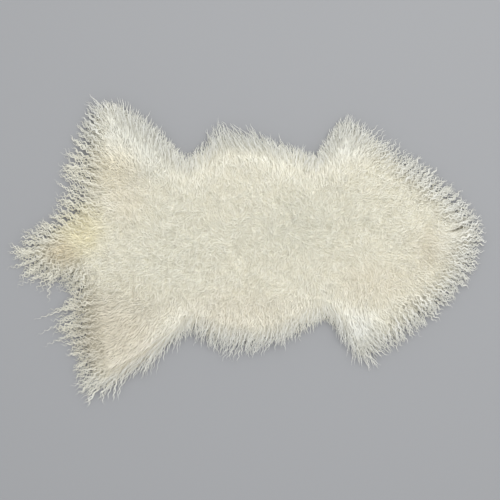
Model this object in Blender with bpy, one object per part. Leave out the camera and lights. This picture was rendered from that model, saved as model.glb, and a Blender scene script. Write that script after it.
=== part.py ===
"""A long-haired curly sheepskin rug: a tanned lambskin lying flat, with its wool on.

The skin is one thin sheet cut to the outline of the animal. The wool stands on it as a lumpy
slab, highest along the back, and ends in locks that droop from the rim and rest on the floor.
+X runs from the tail to the neck, +Y to one pair of legs, and Z = 0 is the floor.
"""

from collections import namedtuple
from math import ceil, cos, pi, radians, sin, sqrt

import bmesh
import bpy
import numpy as np
from mathutils import Vector, geometry, noise

MM = 0.001

# Driving dimensions, in metres
SKIN_THICKNESS = 2.0 * MM
SKIN_INSET = 12 * MM  # the skin stops this far inside the foot of the wool
SKIN_POINTS = 140  # corners of the skin's outline
GAP = 0.3 * MM  # between the skin and the wool
RIM_HEIGHT = 17 * MM  # top of the slab at its rim
CROWN_HEIGHT = 41 * MM  # top of the slab along the back
SHOULDER = 105 * MM  # distance from the rim over which the slab rises to its crown
CROWN_CURVE = 2.2  # 1 is a straight slope, more is a rounder one
TOP_SPACING = 18 * MM  # between the points of the slab's top
CLEAR_OF_RIM = 0.55  # of that spacing is kept between those points and the rim

# The tufts that make the slab's top lumpy: their size along the rug and their height
Tuft = namedtuple("Tuft", "size height")
TUFTS = (Tuft(64 * MM, 10 * MM), Tuft(33 * MM, 8 * MM))
TUFT_SHOULDER = 42 * MM  # distance from the rim over which the tufts reach their full height
RIM_TUFTS = 0.25  # share of their height that they have at the rim

# Locks at the rim
LOCK_COUNT = 280
SHORTEST_LOCK = 0.62  # of the reach in the table, the longest being 1
LOCK_SWING = 2.0  # degrees that a lock strays from the way the wool is combed
LOCK_CURL = 0.4  # how far a lock curls to each side, as a share of half its width at the root
LOCK_PHASE = 0.3  # radians by which the curl of a lock is behind that of its neighbour
LOCK_SEED = 7

# Colours and roughness of the surfaces
WOOL_COLOUR = (0.80, 0.76, 0.63)
WOOL_ROUGHNESS = 0.9
SKIN_COLOUR = (0.74, 0.66, 0.52)
SKIN_ROUGHNESS = 0.8

# The wool's dense edge, counter-clockwise from the neck. x and y are in mm from the middle of
# the rug, comb is the way in which the locks lie in degrees from +X, reach their length in mm.
EdgePoint = namedtuple("EdgePoint", "place x y comb reach")
EDGE = (
    EdgePoint("neck end", 447, 33, 8, 29),
    EdgePoint("neck, upper corner", 427, 68, 20, 34),
    EdgePoint("neck, upper side", 385, 110, 32, 39),
    EdgePoint("shoulder, upper", 303, 177, 46, 36),
    EdgePoint("upper foreleg, outer side", 222, 240, 58, 26),
    EdgePoint("upper foreleg, tip", 184, 250, 96, 28),
    EdgePoint("upper foreleg, inner side", 161, 222, 106, 17),
    EdgePoint("notch behind upper foreleg", 136, 189, 98, 11),
    EdgePoint("upper flank, front", 94, 197, 92, 19),
    EdgePoint("upper flank, middle", 25, 219, 88, 24),
    EdgePoint("upper flank, back", -50, 227, 96, 27),
    EdgePoint("upper flank, end", -88, 202, 94, 20),
    EdgePoint("notch before upper hind leg", -126, 184, 84, 11),
    EdgePoint("upper hind leg, front", -165, 218, 74, 18),
    EdgePoint("upper hind leg, lower shin", -214, 258, 76, 25),
    EdgePoint("upper hind leg, toe", -261, 286, 96, 24),
    EdgePoint("upper hind leg, tip", -294, 285, 124, 38),
    EdgePoint("upper hind leg, back", -309, 254, 144, 41),
    EdgePoint("upper rump", -313, 202, 159, 54),
    EdgePoint("upper rump, by the tail", -318, 130, 168, 61),
    EdgePoint("tail, upper root", -340, 76, 160, 50),
    EdgePoint("tail, upper side", -385, 41, 154, 44),
    EdgePoint("tail, tip", -425, 4, 184, 52),
    EdgePoint("tail, lower side", -402, -33, 218, 48),
    EdgePoint("tail, lower root", -352, -47, 218, 25),
    EdgePoint("lower rump, by the tail", -330, -80, 200, 42),
    EdgePoint("lower rump", -328, -140, 195, 54),
    EdgePoint("lower hind leg, back", -318, -210, 202, 47),
    EdgePoint("lower hind leg, tip", -294, -262, 236, 66),
    EdgePoint("lower hind leg, toe", -259, -251, 248, 49),
    EdgePoint("lower hind leg, front", -211, -217, 254, 40),
    EdgePoint("lower hind leg, thigh", -160, -180, 264, 33),
    EdgePoint("notch before lower hind leg", -112, -149, 268, 21),
    EdgePoint("lower flank, back", -66, -168, 264, 34),
    EdgePoint("lower flank, middle", 0, -179, 264, 35),
    EdgePoint("lower flank, front", 64, -169, 264, 29),
    EdgePoint("lower flank, end", 112, -146, 266, 30),
    EdgePoint("notch behind lower foreleg", 153, -130, 264, 16),
    EdgePoint("lower foreleg, inner side", 190, -160, 256, 28),
    EdgePoint("lower foreleg, tip", 225, -201, 276, 36),
    EdgePoint("lower foreleg, outer side", 268, -177, 302, 32),
    EdgePoint("shoulder, lower", 324, -134, 308, 39),
    EdgePoint("neck, lower side", 379, -87, 320, 37),
    EdgePoint("neck, lower corner", 424, -30, 336, 36),
)

STEPS_PER_ROW = 24  # points worked out between two rows of the table
INSIDE_ONLY = 1  # the triangulation keeps what lies inside the rim
MERGE = 0.0001 * MM  # points closer than this are one point

# Sections of a lock from its root to just before its point
LockSection = namedtuple("LockSection", "along width underside top")
LOCK_SECTIONS = (
    LockSection(0.28, 0.72, 0.35, 0.74),
    LockSection(0.56, 0.56, 0.0, 0.48),
    LockSection(0.82, 0.38, 0.0, 0.27),
)


def outline_rows(count):
    """The edge table as a smooth closed line: rows of x, y, comb and reach, evenly spaced."""
    table = np.array([[p.x, p.y, p.comb, p.reach] for p in EDGE], dtype=float)
    turn = np.array([0.0, 0.0, 360.0, 0.0])
    before, after = table[-1] - turn, table[:2] + turn
    knots = np.vstack([before, table, after])
    fine = []
    for i in range(len(EDGE)):
        p0, p1, p2, p3 = knots[i : i + 4]
        slope, bend = p2 - p0, 2 * p0 - 5 * p1 + 4 * p2 - p3
        twist = 3 * p1 - p0 - 3 * p2 + p3
        for t in np.linspace(0, 1, STEPS_PER_ROW, endpoint=False):
            fine.append(p1 + (slope * t + bend * t**2 + twist * t**3) / 2)
    fine.append(table[0] + turn)
    fine = np.array(fine)
    steps = np.linalg.norm(np.diff(fine[:, :2], axis=0), axis=1)
    walked = np.concatenate([[0], np.cumsum(steps)])
    stops = np.linspace(0, walked[-1], count, endpoint=False)
    rows = np.column_stack([np.interp(stops, walked, fine[:, k]) for k in range(4)])
    rows[:, [0, 1, 3]] *= MM
    return rows


def outward(rows):
    """The unit vector at each point of a counter-clockwise line that points away from the wool."""
    along = np.roll(rows[:, :2], -1, axis=0) - np.roll(rows[:, :2], 1, axis=0)
    out = np.column_stack([along[:, 1], -along[:, 0]])
    return out / np.linalg.norm(out, axis=1)[:, None]


def inside_points(rim, spacing):
    """Points on a staggered grid inside the rim, about half a spacing or more from it."""
    low, high = rim.min(axis=0), rim.max(axis=0)
    row_step = spacing * sqrt(3) / 2
    points = []
    for row in range(ceil((high[1] - low[1]) / row_step)):
        y = low[1] + row * row_step
        crossings = []
        for a, b in zip(rim, np.roll(rim, -1, axis=0)):
            if (a[1] > y) != (b[1] > y):
                crossings.append(a[0] + (y - a[1]) * (b[0] - a[0]) / (b[1] - a[1]))
        crossings.sort()
        for left, right in zip(crossings[::2], crossings[1::2]):
            first = ceil(left / spacing - 0.5 * (row % 2))
            x = (first + 0.5 * (row % 2)) * spacing
            while x < right:
                if np.linalg.norm(rim - (x, y), axis=1).min() > CLEAR_OF_RIM * spacing:
                    points.append((x, y))
                x += spacing
    return points


def wool_height(x, y, from_rim):
    """Height of the slab's top: it rises from the rim to the back, with tufts on it."""
    rise = min(from_rim / SHOULDER, 1)
    height = RIM_HEIGHT + (CROWN_HEIGHT - RIM_HEIGHT) * (1 - (1 - rise) ** CROWN_CURVE)
    share = RIM_TUFTS + (1 - RIM_TUFTS) * min(from_rim / TUFT_SHOULDER, 1)
    for tuft in TUFTS:
        height += share * tuft.height * noise.noise(Vector((x, y, 0)) / tuft.size)
    return height


def place_on(rim, point):
    """The number of the rim's segment whose middle is nearest to a point."""
    middles = (rim + np.roll(rim, -1, axis=0)) / 2
    return int(np.linalg.norm(middles - (point.x, point.y), axis=1).argmin())


def slab(bm, rim):
    """The slab of wool. Returns the faces of its side wall in the order of the rim."""
    flat = [Vector(p) for p in rim] + [Vector(p) for p in inside_points(rim, TOP_SPACING)]
    points, _, faces, *_ = geometry.delaunay_2d_cdt(flat, [], [range(len(rim))], INSIDE_ONLY, MERGE)
    top = []
    for p in points:
        from_rim = np.linalg.norm(rim - tuple(p), axis=1).min()
        top.append(bm.verts.new((p.x, p.y, wool_height(p.x, p.y, from_rim))))
    for face in faces:
        bm.faces.new([top[i] for i in face])
    rim_edges = [e for e in bm.edges if e.is_boundary]
    wall = bmesh.ops.extrude_edge_only(bm, edges=rim_edges)["geom"]
    for v in wall:
        if isinstance(v, bmesh.types.BMVert):
            v.co.z = SKIN_THICKNESS + GAP
    bmesh.ops.contextual_create(bm, geom=[e for e in bm.edges if e.is_boundary])
    sides = [f for f in wall if isinstance(f, bmesh.types.BMFace)]
    return sorted(sides, key=lambda f: place_on(rim, f.calc_center_median()))


def grow_lock(bm, face, comb, reach, phase):
    """Draws a face of the wall out into a lock that curls, narrows and settles on the floor."""
    root = face.calc_center_median()
    top = max(v.co.z for v in face.verts)
    way = Vector((cos(comb), sin(comb), 0))
    side = Vector((-way.y, way.x, 0))
    corner = face.verts[0].co - root
    along_wall = Vector((corner.x, corner.y, 0))
    if along_wall.dot(side) < 0:
        along_wall.negate()
    across = side * along_wall.dot(side)
    for section in LOCK_SECTIONS:
        old = face.calc_center_median()
        face = bmesh.ops.extrude_discrete_faces(bm, faces=[face])["faces"][0]
        curl = across * LOCK_CURL * sin(phase + 2 * pi * section.along)
        middle = root + way * reach * section.along + curl
        half = along_wall.lerp(across, section.along) * section.width
        for v in face.verts:
            hand = 1 if (v.co - old).dot(side) > 0 else -1
            upper = v.co.z > old.z
            v.co = middle + half * hand
            v.co.z = top * section.top if upper else SKIN_THICKNESS * section.underside
    tip = bmesh.ops.poke(bm, faces=[face])["verts"][0]
    tip.co = root + way * reach
    tip.co.z = 0


def plain_material(name, colour, roughness):
    """A Principled material with one colour and roughness."""
    material = bpy.data.materials.new(name)
    material.use_nodes = True
    shader = material.node_tree.nodes["Principled BSDF"]
    shader.inputs["Base Color"].default_value = (*colour, 1)
    shader.inputs["Roughness"].default_value = roughness
    shader.inputs["Metallic"].default_value = 0
    return material


def make_fleece(collection):
    """The wool: a slab with a lock drawn out of each face of its side wall."""
    rows = outline_rows(LOCK_COUNT)
    bm = bmesh.new()
    random = np.random.default_rng(LOCK_SEED)
    for number, (row, face) in enumerate(zip(rows, slab(bm, rows[:, :2]))):
        comb = radians(row[2] + random.uniform(-LOCK_SWING, LOCK_SWING))
        reach = row[3] * random.uniform(SHORTEST_LOCK, 1)
        grow_lock(bm, face, comb, reach, LOCK_PHASE * number)
    bmesh.ops.recalc_face_normals(bm, faces=bm.faces)
    bmesh.ops.triangulate(bm, faces=bm.faces)
    mesh = bpy.data.meshes.new("fleece")
    bm.to_mesh(mesh)
    bm.free()
    fleece = bpy.data.objects.new("fleece", mesh)
    mesh.materials.append(plain_material("cream wool", WOOL_COLOUR, WOOL_ROUGHNESS))
    collection.objects.link(fleece)
    return fleece


def make_hide(collection):
    """The skin: a flat sheet along the outline, a little inside the foot of the wool."""
    rows = outline_rows(SKIN_POINTS)
    edge = rows[:, :2] - outward(rows) * SKIN_INSET
    curve = bpy.data.curves.new("hide", "CURVE")
    curve.dimensions = "2D"
    curve.fill_mode = "BOTH"
    curve.extrude = SKIN_THICKNESS / 2
    spline = curve.splines.new("POLY")
    spline.points.add(len(edge) - 1)
    for point, (x, y) in zip(spline.points, edge):
        point.co = (x, y, 0, 1)
    spline.use_cyclic_u = True
    hide = bpy.data.objects.new("hide", curve)
    hide.location.z = SKIN_THICKNESS / 2
    curve.materials.append(plain_material("tanned skin", SKIN_COLOUR, SKIN_ROUGHNESS))
    collection.objects.link(hide)
    return hide


def stand_on_origin(parts):
    """Moves the rug so that the middle of its reach is above the origin."""
    bpy.context.view_layer.update()
    corners = [part.matrix_world @ Vector(c) for part in parts for c in part.bound_box]
    for axis in (0, 1):
        values = [c[axis] for c in corners]
        middle = (min(values) + max(values)) / 2
        for part in parts:
            part.location[axis] -= middle


def main():
    for old in list(bpy.data.objects):
        bpy.data.objects.remove(old)
    collection = bpy.data.collections.new("sheepskin rug")
    bpy.context.scene.collection.children.link(collection)
    parts = [make_hide(collection), make_fleece(collection)]
    stand_on_origin(parts)


main()
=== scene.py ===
import math

import bmesh
import bpy
import numpy as np
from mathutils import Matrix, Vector, noise
from mathutils.bvhtree import BVHTree
from mathutils.kdtree import KDTree


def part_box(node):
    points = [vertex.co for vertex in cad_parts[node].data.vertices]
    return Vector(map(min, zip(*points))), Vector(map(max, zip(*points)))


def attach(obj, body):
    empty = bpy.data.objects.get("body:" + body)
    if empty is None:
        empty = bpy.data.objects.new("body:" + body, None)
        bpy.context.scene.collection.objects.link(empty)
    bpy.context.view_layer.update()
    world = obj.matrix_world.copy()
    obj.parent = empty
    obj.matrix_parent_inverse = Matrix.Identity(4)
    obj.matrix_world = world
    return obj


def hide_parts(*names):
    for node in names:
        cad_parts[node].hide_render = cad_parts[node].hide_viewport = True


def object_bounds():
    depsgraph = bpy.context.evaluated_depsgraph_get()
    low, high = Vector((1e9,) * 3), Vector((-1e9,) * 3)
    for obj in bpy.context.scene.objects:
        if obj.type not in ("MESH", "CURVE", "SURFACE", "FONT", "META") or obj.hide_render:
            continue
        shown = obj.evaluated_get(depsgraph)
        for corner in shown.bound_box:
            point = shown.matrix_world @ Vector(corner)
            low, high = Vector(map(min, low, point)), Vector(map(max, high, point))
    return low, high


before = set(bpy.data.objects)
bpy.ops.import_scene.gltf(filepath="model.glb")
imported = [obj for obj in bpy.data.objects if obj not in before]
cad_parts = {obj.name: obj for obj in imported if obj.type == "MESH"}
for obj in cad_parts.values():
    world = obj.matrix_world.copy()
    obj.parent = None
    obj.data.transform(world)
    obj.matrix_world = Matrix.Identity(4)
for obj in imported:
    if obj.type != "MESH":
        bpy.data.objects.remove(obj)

cadLow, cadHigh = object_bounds()
mm = 0.001
print("frame loaded:", sorted(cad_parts))


def smooth(low, high, x):
    # 0 under low and 1 over high
    t = np.clip((x - low) / (high - low), 0, 1)
    return t * t * (3 - 2 * t)


def mixed(pair, share):
    # from the first of a pair at 0 to the second at 1
    return pair[0] + (pair[1] - pair[0]) * share


def wayOf(angle):
    return np.column_stack([np.cos(angle), np.sin(angle)])


noiseGain = 1.9  # brings the noise to about -1 to 1


def noiseAt(points, size, seed=0.0):
    # soft noise at each point, for swirls and tufts of that size
    return np.array([noise.noise(Vector((x / size, y / size, seed))) for x, y in points]) * noiseGain


# The wool's dense edge, counter-clockwise from the neck, as in the solids. x and y are in mm,
# comb is the way in which the wool lies there in degrees from +X, reach the length of the locks
# past the edge in mm, curl how wavy they are and fine how thin, both from 0 to 1.
edgeTable = (
    # place, x, y, comb, reach, curl, fine
    ("neck end", 447, 33, 8, 29, 0.8, 0.4),
    ("neck, upper corner", 427, 68, 20, 34, 0.9, 0.4),
    ("neck, upper side", 385, 110, 32, 39, 1.0, 0.4),
    ("shoulder, upper", 303, 177, 46, 36, 0.9, 0.5),
    ("upper foreleg, outer side", 222, 240, 58, 26, 0.5, 0.8),
    ("upper foreleg, tip", 184, 250, 90, 28, 0.3, 0.9),
    ("upper foreleg, inner side", 161, 222, 106, 17, 0.4, 0.9),
    ("notch behind upper foreleg", 136, 189, 98, 11, 0.3, 1.0),
    ("upper flank, front", 94, 197, 94, 20, 0.3, 1.0),
    ("upper flank, middle", 25, 219, 108, 30, 0.3, 1.0),
    ("upper flank, back", -50, 227, 116, 34, 0.4, 0.9),
    ("upper flank, end", -88, 202, 108, 26, 0.4, 0.9),
    ("notch before upper hind leg", -126, 184, 90, 15, 0.4, 1.0),
    ("upper hind leg, front", -165, 218, 84, 20, 0.3, 0.9),
    ("upper hind leg, lower shin", -214, 258, 88, 25, 0.2, 0.9),
    ("upper hind leg, toe", -261, 286, 92, 24, 0.2, 0.8),
    ("upper hind leg, tip", -294, 285, 122, 36, 0.4, 0.7),
    ("upper hind leg, back", -309, 254, 138, 28, 0.6, 0.4),
    ("upper rump", -313, 202, 150, 50, 0.6, 0.2),
    ("upper rump, by the tail", -318, 130, 158, 66, 0.65, 0.1),
    ("tail, upper root", -340, 76, 156, 52, 0.65, 0.1),
    ("tail, upper side", -385, 41, 164, 44, 0.6, 0.2),
    ("tail, tip", -425, 4, 182, 52, 0.75, 0.1),
    ("tail, lower side", -402, -33, 222, 48, 1.0, 0.1),
    ("tail, lower root", -352, -47, 230, 25, 1.0, 0.1),
    ("lower rump, by the tail", -330, -80, 212, 44, 1.0, 0.1),
    ("lower rump", -328, -140, 188, 54, 1.0, 0.1),
    ("lower hind leg, back", -318, -210, 204, 42, 0.8, 0.2),
    ("lower hind leg, tip", -294, -262, 228, 57, 0.5, 0.3),
    ("lower hind leg, toe", -259, -251, 236, 45, 0.3, 0.5),
    ("lower hind leg, front", -211, -217, 232, 45, 0.3, 0.7),
    ("lower hind leg, thigh", -160, -180, 235, 46, 0.4, 0.8),
    ("notch before lower hind leg", -112, -149, 248, 33, 0.5, 0.9),
    ("lower flank, back", -66, -168, 252, 36, 0.6, 0.9),
    ("lower flank, middle", 0, -179, 248, 37, 0.6, 0.8),
    ("lower flank, front", 64, -169, 258, 29, 0.5, 0.9),
    ("lower flank, end", 112, -146, 268, 27, 0.5, 0.9),
    ("notch behind lower foreleg", 153, -130, 272, 16, 0.4, 0.9),
    ("lower foreleg, inner side", 190, -160, 284, 30, 0.4, 0.9),
    ("lower foreleg, tip", 225, -201, 298, 38, 0.2, 0.85),
    ("lower foreleg, outer side", 268, -177, 306, 34, 0.5, 0.6),
    ("shoulder, lower", 324, -134, 310, 39, 0.7, 0.4),
    ("neck, lower side", 379, -87, 320, 37, 0.9, 0.4),
    ("neck, lower corner", 424, -30, 336, 36, 0.9, 0.4),
)
edgeLook = {
    "skinInset": 12 * mm,  # the skin stops this far inside the wool's dense edge
    "rowPoints": 24,  # between two rows of the table
    "points": 1400,  # evenly spaced
    "insideEvery": 4,  # each fourth tells inside from outside
    "combEvery": 7,  # and each seventh combs the wool
}


def edgeRows(look):
    # the table as a smooth closed line: x, y, comb in radians, reach, curl and fine
    table = np.array([row[1:] for row in edgeTable], dtype=float)
    turn = np.array([0, 0, 360, 0, 0, 0], dtype=float)
    knots = np.vstack([table[-1] - turn, table, table[:2] + turn])
    line = []
    for i in range(len(table)):
        p0, p1, p2, p3 = knots[i : i + 4]
        slope, bend = p2 - p0, 2 * p0 - 5 * p1 + 4 * p2 - p3
        twist = 3 * p1 - p0 - 3 * p2 + p3
        for t in np.linspace(0, 1, look["rowPoints"], endpoint=False):
            line.append(p1 + (slope * t + bend * t**2 + twist * t**3) / 2)
    line.append(table[0] + turn)
    line = np.array(line)
    walked = np.concatenate([[0], np.cumsum(np.linalg.norm(np.diff(line[:, :2], axis=0), axis=1))])
    stops = np.linspace(0, walked[-1], look["points"], endpoint=False)
    rows = np.column_stack([np.interp(stops, walked, column) for column in line.T])
    rows[:, [0, 1, 3]] *= mm
    rows[:, 2] = np.radians(rows[:, 2])
    return rows


def outwardOf(line):
    # unit vectors that point away from the wool
    along = np.roll(line, -1, axis=0) - np.roll(line, 1, axis=0)
    out = np.column_stack([along[:, 1], -along[:, 0]])
    return out / np.linalg.norm(out, axis=1)[:, None]


def areaOf(line):
    # the area that a closed line goes round
    x, y = line.T
    return 0.5 * abs(np.dot(x, np.roll(y, -1)) - np.dot(y, np.roll(x, -1)))


edge = edgeRows(edgeLook)
edgeOut = outwardOf(edge[:, :2])
# the table has its own middle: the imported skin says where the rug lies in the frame
skinLow, skinHigh = (np.array(corner[:2]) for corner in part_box("hide"))
skinLine = edge[:, :2] - edgeOut * edgeLook["skinInset"]
edge[:, :2] += (skinLow + skinHigh - skinLine.min(axis=0) - skinLine.max(axis=0)) / 2
edgePlace = edge[:, :2]
edgeComb, edgeReach, edgeCurl, edgeFine = edge[:, 2:].T
edgeStep = float(np.linalg.norm(edgePlace[1] - edgePlace[0]))
edgeTree = KDTree(len(edge))
for number, (x, y) in enumerate(edgePlace):
    edgeTree.insert((x, y, 0), number)
edgeTree.balance()


def insideOf(points):
    # even-odd test against the dense edge
    inside = np.zeros(len(points), dtype=bool)
    line = edgePlace[:: edgeLook["insideEvery"]]
    for a, b in zip(line, np.roll(line, -1, axis=0)):
        if a[1] == b[1]:
            continue
        crosses = (a[1] > points[:, 1]) != (b[1] > points[:, 1])
        x = a[0] + (points[:, 1] - a[1]) * (b[0] - a[0]) / (b[1] - a[1])
        inside ^= crosses & (points[:, 0] < x)
    return inside


def nearEdge(points):
    # the nearest place on the edge, and how far inside it each point is (negative outside)
    found = [edgeTree.find((x, y, 0)) for x, y in points]
    index = np.array([f[1] for f in found])
    depth = np.array([f[2] for f in found])
    return index, np.where(insideOf(points), depth, -depth)


# how high the wool is and which way it lies
fieldLook = {
    "step": 4 * mm,  # of the height grid
    "margin": 50 * mm,  # of the grid round the solid
    "above": 200 * mm,  # from here it looks down on the solid
    "blur": 3,  # passes that smooth the facets of the solid
    "combCore": 14 * mm,  # blends the ways of neighbouring places
    "combedTo": 95 * mm,  # combed outwards this far in from the edge
    "combShare": (0.8, 2.2),  # how strongly, on the back and at the edge
    "swirls": ((70 * mm, 3.3, 1.0), (26 * mm, 8.1, 0.6)),  # size, seed and share
    "swirlShare": (0.5, 0.14),  # on the back and at the edge
    "straightSwirl": 0.85,  # how much less it swirls where it is straight
}


class HeightField:
    def __init__(self, look):
        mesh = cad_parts["fleece"].data
        tree = BVHTree.FromPolygons(
            [v.co for v in mesh.vertices], [tuple(p.vertices) for p in mesh.polygons]
        )
        self.step, margin = look["step"], look["margin"]
        self.x0, self.y0 = cadLow.x - margin, cadLow.y - margin
        nx = int((cadHigh.x - cadLow.x + 2 * margin) / self.step) + 2
        ny = int((cadHigh.y - cadLow.y + 2 * margin) / self.step) + 2
        grid = np.zeros((ny, nx))
        down = Vector((0, 0, -1))
        for j, i in np.ndindex(ny, nx):
            start = Vector((self.x0 + i * self.step, self.y0 + j * self.step, look["above"]))
            hit = tree.ray_cast(start, down)[0]
            grid[j, i] = hit.z if hit else 0.0
        for _ in range(look["blur"]):
            wide = np.pad(grid, 1, mode="edge")
            grid = (wide[:-2, 1:-1] + wide[2:, 1:-1] + wide[1:-1, :-2] + wide[1:-1, 2:]) / 6 + grid / 3
        self.grid = grid

    def at(self, points):
        rows, columns = self.grid.shape
        u = np.clip((points[:, 0] - self.x0) / self.step, 0, columns - 1.001)
        v = np.clip((points[:, 1] - self.y0) / self.step, 0, rows - 1.001)
        i, j = u.astype(int), v.astype(int)
        fu, fv = u - i, v - j
        low = self.grid[j, i] * (1 - fu) + self.grid[j, i + 1] * fu
        high = self.grid[j + 1, i] * (1 - fu) + self.grid[j + 1, i + 1] * fu
        return low * (1 - fv) + high * fv


top = HeightField(fieldLook)
print("height field:", top.grid.shape)


def combAt(points):
    # how the edge combs the wool at each point: a vector that fades towards the back,
    # and the edge's curl and fineness there
    every = edgeLook["combEvery"]
    line = edgePlace[::every]
    way = np.column_stack([wayOf(edgeComb[::every]), edgeCurl[::every], edgeFine[::every]])
    result = np.empty((len(points), way.shape[1]))
    batch = 2000  # points at a time, to save memory
    for first in range(0, len(points), batch):
        part = points[first : first + batch, None, :] - line[None]
        weight = ((part**2).sum(axis=2) + fieldLook["combCore"] ** 2) ** -1.5
        result[first : first + batch] = weight @ way / weight.sum(axis=1)[:, None]
    return result[:, :2], result[:, 2], result[:, 3]


def swirlAt(points, size, seed):
    # a flow that goes round soft hills, so that no place draws wool in from all sides
    h = size / 20
    dx = noiseAt(points + (h, 0), size, seed) - noiseAt(points - (h, 0), size, seed)
    dy = noiseAt(points + (0, h), size, seed) - noiseAt(points - (0, h), size, seed)
    steepest = 2.5 / size  # of such hills
    return np.column_stack([dy, -dx]) / (2 * h) / steepest


# Places where the wool falls apart: depth, half width of the hollow and half width of the bare
# slit in mm, and the line they follow. A slit of 0 is a mere hollow in the wool.
partings = (
    ("parting at the neck", 24, 5, 1.1, ((384, 38), (398, 37), (413, 41), (429, 48), (446, 59))),
    ("crease across the neck", 6, 20, 0, ((358, 46), (352, 10), (357, -24))),
    ("slit by the tail", 16, 6, 1.6, ((-358, 50), (-374, 54), (-396, 64))),
    ("slit under the tail", 10, 4, 0.9, ((-332, -36), (-342, -40), (-354, -47))),
)
partingLook = {
    "opensOver": 0.7,  # a slit opens over this share of its line
    "aside": (0.5, 3),  # the wool lies along it within these, in half widths of the hollow
    "crossing": (-0.1, 1.2),  # how near strands may come to its middle, in half widths of the slit
    "dark": (0.2, 0.8),  # where its painted shadow ends, in half widths of the hollow
}


def nearPartings(points):
    # for every parting its sizes, how far each point is and which way its line runs there
    for _, deep, wide, slit, line in partings:
        line = np.array(line) * mm
        best = np.full(len(points), np.inf)
        run = np.zeros((len(points), 2))
        walked = np.zeros(len(points))
        for number, (a, b) in enumerate(zip(line, line[1:])):
            share = np.clip(((points - a) @ (b - a)) / ((b - a) @ (b - a)), 0, 1)
            far = np.linalg.norm(points - (a + share[:, None] * (b - a)), axis=1)
            closer = far < best
            best[closer] = far[closer]
            run[closer] = (b - a) / np.linalg.norm(b - a)
            walked[closer] = (number + share[closer]) / (len(line) - 1)
        opened = smooth(0, partingLook["opensOver"], walked) if slit else np.ones(len(points))
        yield deep * mm * opened, wide * mm, slit * mm * opened, best, run


def alongPartings(points, way):
    # next to a slit the wool lies along it
    near, far = partingLook["aside"]
    for _, wide, slit, away, run in nearPartings(points):
        if slit.any():
            run = run * np.sign((run * way).sum(axis=1))[:, None]
            share = (1 - smooth(near * wide, far * wide, away))[:, None]
            way = way * (1 - share) + run * share * np.linalg.norm(way, axis=1)[:, None]
    return way


def clearOfSlits(x, y):
    # the strands that would lie across a slit are left out
    points = np.column_stack([x.ravel(), y.ravel()])
    clear = np.ones(x.shape, dtype=bool)
    random = np.random.default_rng(len(x))
    loose = random.uniform(*partingLook["crossing"], (len(x), 1))
    for _, _, slit, away, _ in nearPartings(points):
        clear &= away.reshape(x.shape) >= slit.reshape(x.shape) * loose
    return clear.all(axis=1)


# where the wool isn't curly but lies combed like hair
straightPlaces = (
    # name, x, y, half length, half width in mm, how straight
    ("lower hind leg", -262, -186, 92, 104, 0.6),
    ("upper hind leg", -236, 232, 104, 78, 0.62),
    ("upper foreleg", 188, 226, 84, 56, 0.55),
    ("lower foreleg", 216, -166, 70, 60, 0.6),
)
straightFade = (0.55, 1.1)  # where such a place fades out, in its half sizes


def straightAt(points):
    result = np.zeros(len(points))
    for _, x, y, halfX, halfY, strength in straightPlaces:
        away = (points - np.array((x, y)) * mm) / (np.array((halfX, halfY)) * mm)
        inside = 1 - smooth(*straightFade, np.hypot(away[:, 0], away[:, 1]))
        result = np.maximum(result, strength * inside)
    return result


def flowAt(points, depth):
    # which way the wool lies: combed outwards near the edge, in soft swirls on the back
    look = fieldLook
    combed, curl, fine = combAt(points)
    straight = straightAt(points)
    share = smooth(0, 1, 1 - depth / look["combedTo"])
    swirl = sum(part * swirlAt(points, size, seed) for size, seed, part in look["swirls"])
    swirl *= (1 - look["straightSwirl"] * straight)[:, None]
    way = combed * mixed(look["combShare"], share)[:, None]
    way += swirl * mixed(look["swirlShare"], share)[:, None]
    way = alongPartings(points, way)
    return np.arctan2(way[:, 1], way[:, 0]), (1 - share * (1 - curl)) * (1 - straight), fine


# strands of wool as joined tubes
strandLook = {
    "around": (0.5, 0.0, 1.0),  # its corners: the top and the two sides, in the map of its fibres
    "tipWhite": (0.0, 0.6),  # along a strand its white comes up between these
    "rootDeep": (0.0, 0.45),  # and the painted shade of its root ends between these
    "bendFrom": 0.15,  # a strand bends to both sides of this place
    "swingShortens": 4.8,  # its swing squared over this is the share by which it falls short
    "offFloor": 0.1 * mm,
}


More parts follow.
